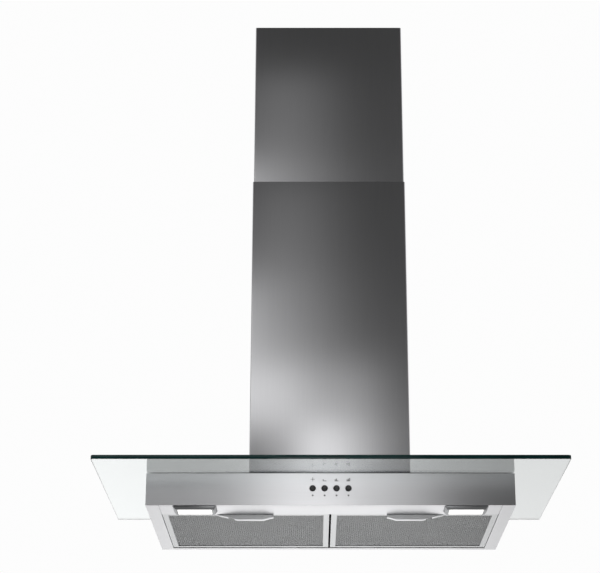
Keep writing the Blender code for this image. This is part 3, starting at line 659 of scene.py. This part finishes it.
def makeOutlet():
    # duct spigot with a flange and two beads that hold the hose clip
    low = corners("outlet_collar")[0]
    centre, size = centreOf("outlet_collar")
    height, flange, thick, edge = size.z, size.x / 2, outlet["flange"], outlet["edge"]
    outer, inner, fillet = outlet["radius"], outlet["radius"] - outlet["wall"], outlet["fillet"]
    profile = [(inner, 0), (flange - edge, 0), (flange, edge), (flange, thick - edge), (flange - edge, thick),
               (outer + fillet, thick)]
    profile += arcPoints((outer + fillet, thick + fillet), fillet, 270, 180, 4)
    for bead in outlet["beads"]:
        profile += arcPoints((outer - outlet["beadSet"], bead), outlet["beadRadius"], -60, 60, 6)
    profile += [(outer, height - edge), (outer - 0.0004, height), (inner + 0.0004, height),
                (inner, height - edge)]
    turnedPiece("outlet_collar", "_beaded", blackAbs, profile, outlet["steps"], (0, 0, 1),
                (centre.x, centre.y, low.z))
    turnedPin("flap_pin", (0, 1, 0), 0.0002, 20)


gland = {"bore": 0.0046, "nut": 0.006, "body": 0.0085, "top": 0.0195}
capacitor = {"edge": 0.0015, "crimp": 0.0008, "crimpBack": 0.0054, "lid": 0.0006, "steps": 36}


def makeGland():
    # hexagon nut under a round compression cap
    low = corners("cable_gland")[0]
    centre, size = centreOf("cable_gland")
    bore, nut, radius, wall = gland["bore"], gland["nut"], size.x / 2, gland["body"]
    bm = spun([(bore, nut), (bore, 0), (radius, 0), (radius, nut - 0.0008), (radius - 0.0008, nut)], 6)
    cap = [(bore, gland["top"]), (bore, nut + 0.0002), (wall - 0.0005, nut + 0.0002), (wall, nut + 0.0008),
           (wall, 0.0165)]
    cap += arcPoints((wall - 0.0025, 0.0170), 0.0025, 0, 80, 5)
    joined(bm, spun(cap, 36))
    pointed(bm, (0, 0, 1), (centre.x, centre.y, low.z))
    piece = finishMesh(bm, "cable_gland_ridged", [blackAbs])
    settle(piece, nodeBody["cable_gland"], "cable_gland")


def makeCapacitor():
    # rounded can with a crimp behind its lid
    centre, size = centreOf("capacitor")
    half, radius, edge = size.y / 2, size.z / 2, capacitor["edge"]
    crimp, back, lid = capacitor["crimp"], capacitor["crimpBack"], half - capacitor["lid"]
    profile = [(0, -half), (radius - edge, -half)] + arcPoints((radius - edge, edge - half), edge, -80, 0, 4)
    profile += [(radius, half - back - 0.0006), (radius - crimp, half - back), (radius, half - back + crimp),
                (radius, half - 0.001), (radius - 0.0012, half), (radius - 0.003, lid), (0, lid)]
    turnedPiece("capacitor", "_can", blackAbs, profile, capacitor["steps"], (0, 1, 0), centre)


# screws

screw = {"cells": 10, "slotHalf": 0.156, "slotReach": 0.56, "slotDepth": 0.0011, "crown": 0.45,
         "coverInset": 0.006, "coverRadius": 0.0032, "coverHeight": 0.0020}


def panHead(radius, height):
    # pan head with a pressed cross recess, standing on z = 0
    bm = bmesh.new()
    bmesh.ops.create_grid(bm, x_segments=screw["cells"], y_segments=screw["cells"], size=1)
    for vert in bm.verts:
        x, y = vert.co.x, vert.co.y
        across = x * math.sqrt(1 - y * y / 2), y * math.sqrt(1 - x * x / 2)     # square grid to round disc
        reach = math.hypot(*across)
        vert.co = (across[0] * radius, across[1] * radius, height * (1 - screw["crown"] * reach ** 4))
    walls = bmesh.ops.extrude_edge_only(bm, edges=[edge for edge in bm.edges if edge.is_boundary])
    for vert in vertsOf(walls):
        vert.co.z = 0
    bmesh.ops.holes_fill(bm, edges=[edge for edge in bm.edges if edge.is_boundary], sides=0)
    cross = []
    for face in bm.faces:
        middle = face.calc_center_median() / radius
        narrow, wide = sorted((abs(middle.x), abs(middle.y)))
        if face.normal.z > 0.5 and narrow < screw["slotHalf"] and wide < screw["slotReach"]:
            cross.append(face)
    sunk = bmesh.ops.extrude_face_region(bm, geom=cross)
    bmesh.ops.translate(bm, verts=vertsOf(sunk), vec=(0, 0, -screw["slotDepth"]))
    bmesh.ops.delete(bm, geom=cross, context="FACES")
    return merged(bm)


def makeScrews():
    for number in range(1, 5):
        nodeName = f"collar_screw_{number}"
        low = corners(nodeName)[0]
        centre, size = centreOf(nodeName)
        head = pointed(panHead(size.x / 2, size.z), (0, 0, 1), (centre.x, centre.y, low.z))
        piece = finishMesh(head, nodeName + "_cross", [zincPlate])
        settle(piece, nodeBody[nodeName], nodeName)
    low, high = corners("control_box_cover")
    inset = screw["coverInset"]
    for x in (low.x + inset, high.x - inset):
        for y in (low.y + inset, high.y - inset):
            head = pointed(panHead(screw["coverRadius"], screw["coverHeight"]), (0, 0, -1), (x, y, low.z))
            name = f"cover_screw_{round(x * 1000)}_{round(-y * 1000)}"
            settle(finishMesh(head, name, [zincPlate]), "hood")


makeSheetPieces()
makeCanopyGlass()
print("sheet pieces and glass made")
for side in sides:
    makeFilter(side)
    makeLens(side)
    makeBulb(side)
print("filters and lamps made")
for nodeName in buttonNames:
    makeButton(nodeName)
makeSigns()
print("controls made")
makeWheel()
makeInletRings()
makeMotor()
makeOutlet()
makeGland()
makeCapacitor()
makeScrews()
print("blower and small parts made")


# light, floor and camera

studio = {
    "floorHeight": -5.5, "floorSize": 30.0, "paint": "#F4F4F3", "floorGlow": 0.55,
    "backdrop": 0.98,              # white, as the camera sees it
    "front": 0.06,                 # dim towards the viewer, so that the panels below shape the steel
    "backLow": (1.75, 1.42),       # behind the hood and under the horizon, left and right
    "backHigh": 0.50, "sides": 0.50, "above": 0.70,
    "throughGlass": (0.86, 0.62),  # backdrop behind the glass, left and right
}
cameraSetup = {"place": (-0.0311, -3.6609, -0.8142), "tilt": 20.63, "lens": 104.8, "shift": (-0.0238, 0.0)}
panelPlane = -1.15                 # soft panels stand side by side in one plane in front of the hood
panelColumns = {"farLeft": (-1.25, -0.45), "left": (-0.45, -0.15), "centre": (-0.15, 0.05),
                "middle": (0.05, 0.25), "right": (0.25, 1.10)}
panelRows = {"low": (-0.30, 0.20), "glass": (0.20, 0.50), "cover": (0.50, 1.00), "top": (1.00, 1.70)}
panels = {                         # (column, row): brightness, watts for each square metre
    ("farLeft", "glass"): 4.0, ("farLeft", "cover"): 3.0, ("left", "glass"): 4.0, ("left", "cover"): 1.2,
    ("left", "top"): 0.8, ("centre", "low"): 7.8, ("centre", "glass"): 1.3, ("centre", "cover"): 0.6,
    ("centre", "top"): 0.4, ("middle", "low"): 3.0, ("middle", "glass"): 1.9, ("middle", "cover"): 0.1,
    ("right", "low"): 0.15,
}
underPanel = {"place": (0.0, 1.3, -1.1), "size": 0.9, "watts": 2.8}     # low behind the hood


def makeWorld():
    # each value is a brightness that depends on the direction looked in: X right, Y back, Z up
    world = bpy.data.worlds.new("studioWorld")
    bpy.context.scene.world = world
    world.use_nodes = True
    tree = world.node_tree
    tree.nodes.clear()
    way = addNode(tree, "ShaderNodeSeparateXYZ", [addNode(tree, "ShaderNodeTexCoord").outputs["Generated"]])
    x, y, z = way.outputs
    # each range is [value, from low, from high, to low, to high]
    leftToRight = addNode(tree, "ShaderNodeMapRange", [x, -0.15, 0.15, *studio["backLow"]])
    under = addNode(tree, "ShaderNodeMapRange", [z, -0.12, 0.12, 1, 0])
    over = addNode(tree, "ShaderNodeMapRange", [z, -0.12, 0.12, 0, studio["backHigh"]])
    behind = addNode(tree, "ShaderNodeMapRange", [y, -0.2, 0.5, 0, 1])
    aside = addNode(tree, "ShaderNodeMath", [x, 0], operation="ABSOLUTE")
    beside = addNode(tree, "ShaderNodeMapRange", [aside.outputs[0], 0.45, 0.95, 0, studio["sides"]])
    high = addNode(tree, "ShaderNodeMapRange", [z, 0.5, 0.9, 0, studio["above"]])
    rearHalf = addNode(tree, "ShaderNodeMapRange", [y, -0.1, 0.4, 0, 1])
    glassRange = addNode(tree, "ShaderNodeMapRange", [x, -0.12, 0.12, *studio["throughGlass"]])
    low = addNode(tree, "ShaderNodeMath", [under.outputs[0], leftToRight.outputs[0]], operation="MULTIPLY")
    shade = addNode(tree, "ShaderNodeMath", [low.outputs[0], over.outputs[0]], operation="ADD")
    back = addNode(tree, "ShaderNodeMath", [behind.outputs[0], shade.outputs[0]], operation="MULTIPLY")
    above = addNode(tree, "ShaderNodeMath", [high.outputs[0], rearHalf.outputs[0]], operation="MULTIPLY")
    most = addNode(tree, "ShaderNodeMath", [beside.outputs[0], above.outputs[0]], operation="MAXIMUM")
    most = addNode(tree, "ShaderNodeMath", [back.outputs[0], most.outputs[0]], operation="MAXIMUM")
    whole = addNode(tree, "ShaderNodeMath", [most.outputs[0], studio["front"]], operation="ADD")
    white = hexColour("#FFFFFF")
    felt = addNode(tree, "ShaderNodeBackground", [white, whole.outputs[0]])
    seen = addNode(tree, "ShaderNodeBackground", [white, studio["backdrop"]])
    glazed = addNode(tree, "ShaderNodeBackground", [white, glassRange.outputs[0]])
    ray = addNode(tree, "ShaderNodeLightPath")
    lit = addNode(tree, "ShaderNodeMixShader",
                  [ray.outputs["Is Transmission Ray"], felt.outputs[0], glazed.outputs[0]])
    shown = addNode(tree, "ShaderNodeMixShader",
                    [ray.outputs["Is Camera Ray"], lit.outputs[0], seen.outputs[0]])
    addNode(tree, "ShaderNodeOutputWorld", {"Surface": shown.outputs[0]})


def makeFloor():
    # matt pale paint; it looks pale, and its glow lights nothing
    bm = bmesh.new()
    bmesh.ops.create_grid(bm, x_segments=1, y_segments=1, size=studio["floorSize"] / 2)
    bmesh.ops.translate(bm, verts=bm.verts[:], vec=(0, 0, studio["floorHeight"]))
    colour = hexColour(studio["paint"])
    paint, tree, shader = newMaterial("paleFloor", Roughness=0.8, Base_Color=colour, Emission_Color=colour)
    seen = addNode(tree, "ShaderNodeLightPath").outputs["Is Camera Ray"]
    glow = addNode(tree, "ShaderNodeMapRange", [seen, 0, 1, 0, studio["floorGlow"]])
    tree.links.new(glow.outputs[0], shader.inputs["Emission Strength"])
    finishMesh(bm, "studioFloor", [paint])


def softPanel(place, aim, width, height, power):
    lamp = bpy.data.lights.new("softPanel", "AREA")
    lamp.shape = "RECTANGLE"
    lamp.size, lamp.size_y = width, height
    lamp.energy = power
    box = bpy.data.objects.new("softPanel", lamp)
    box.location = place
    box.rotation_euler = (Vector(aim) - box.location).to_track_quat("-Z", "Y").to_euler()
    box.visible_camera = False
    bpy.context.collection.objects.link(box)


def makePanels():
    for (column, row), brightness in panels.items():
        left, right = panelColumns[column]
        low, high = panelRows[row]
        x, z = (left + right) / 2, (low + high) / 2
        width, height = right - left, high - low
        softPanel((x, panelPlane, z), (x, 0, z), width, height, brightness * width * height)
    size = underPanel["size"]
    softPanel(underPanel["place"], (0, -0.2, 0), size, size, underPanel["watts"])


def makeCamera():
    view = bpy.data.cameras.new("photoCamera")
    view.lens = cameraSetup["lens"]
    view.sensor_width = 36.0
    view.shift_x, view.shift_y = cameraSetup["shift"]
    camera = bpy.data.objects.new("photoCamera", view)
    camera.location = cameraSetup["place"]
    camera.rotation_euler = (math.radians(90 + cameraSetup["tilt"]), 0, 0)
    bpy.context.collection.objects.link(camera)
    bpy.context.scene.camera = camera


makeWorld()
makeFloor()
makePanels()
makeCamera()
bpy.context.scene.view_settings.view_transform = "Standard"
print("studio made")
